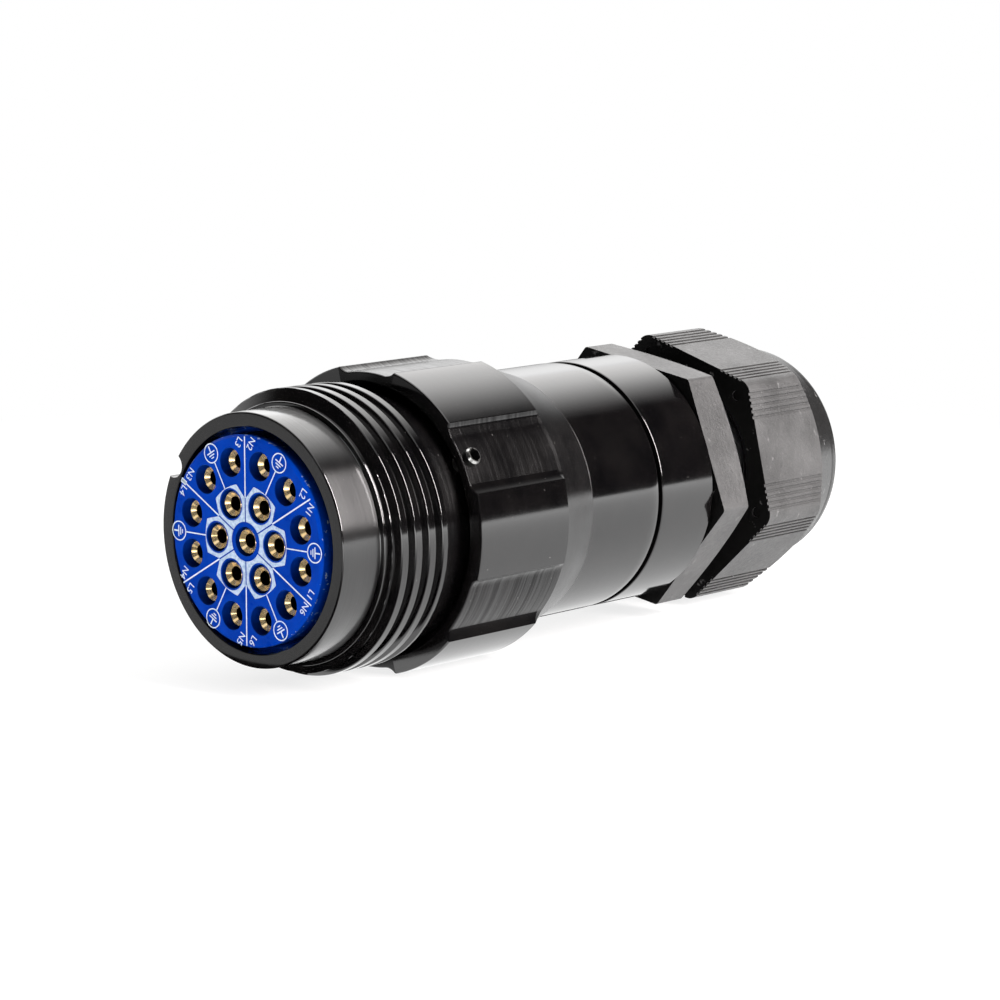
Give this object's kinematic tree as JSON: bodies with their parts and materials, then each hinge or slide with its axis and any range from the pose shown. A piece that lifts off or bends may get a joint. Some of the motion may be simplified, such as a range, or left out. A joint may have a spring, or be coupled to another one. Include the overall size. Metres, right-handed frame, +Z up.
{
  "type": "circular cable connector",
  "caption": "Round inline power connector with a keyed collar, coupling thread, socket insert, grip sleeve and a cable gland with a dome nut.",
  "frame": {"origin": "On the axis at the mouth of the centre socket, in the plane of the collar rim", "axes": "+Y along the axis from the mating face to the cable gland; +Z up as the connector lies on two pads of its grip; +X to the right seen from the mating face"},
  "size_m": [0.0522, 0.1343, 0.0508],
  "materials": {
    "shell": "black anodised, glossy, finely turned",
    "insert": "smooth blue insulator with white print",
    "plate": "smooth dark blue insulator",
    "contact": "gold plated",
    "steel": "plain steel",
    "seal": "matt black rubber",
    "gland": "grained dark plastic",
    "slip_ring": "smooth white plastic"
  },
  "bodies": {
    "connector": {"front_shell": "shell", "contact_insert": "insert", "contact_plate": "plate", "retaining_ring": "steel", "backshell": "shell", "set_screw": "steel", "joint_seal": "seal", "gland_adapter": "shell", "gland_washer": "seal", "gland_body": "gland", "gland_seal": "seal", "contact_line_1": "contact", "contact_line_2": "contact", "contact_line_3": "contact", "contact_line_4": "contact", "contact_line_5": "contact", "contact_line_6": "contact", "contact_neutral_1": "contact", "contact_neutral_2": "contact", "contact_neutral_3": "contact", "contact_neutral_4": "contact", "contact_neutral_5": "contact", "contact_neutral_6": "contact", "contact_earth_1": "contact", "contact_earth_2": "contact", "contact_earth_3": "contact", "contact_earth_4": "contact", "contact_earth_5": "contact", "contact_earth_6": "contact", "contact_centre": "contact"},
    "slip": {"slip_ring": "slip_ring"},
    "nut": {"gland_nut": "gland"}
  },
  "joints": [
    {"name": "nut_travel", "type": "slide", "parent": "connector", "child": "slip", "axis": [0, 1, 0], "range_m": [0, 0.00601]},
    {"name": "nut_turn", "type": "hinge", "parent": "slip", "child": "nut", "pos_m": [0, 0.112, 0], "axis": [0, 1, 0], "range_deg": [0, 1440]}
  ],
  "couplings": [
    {"joint": "nut_travel", "follows": "nut_turn", "m_per_rad": 0.00023873}
  ]
}
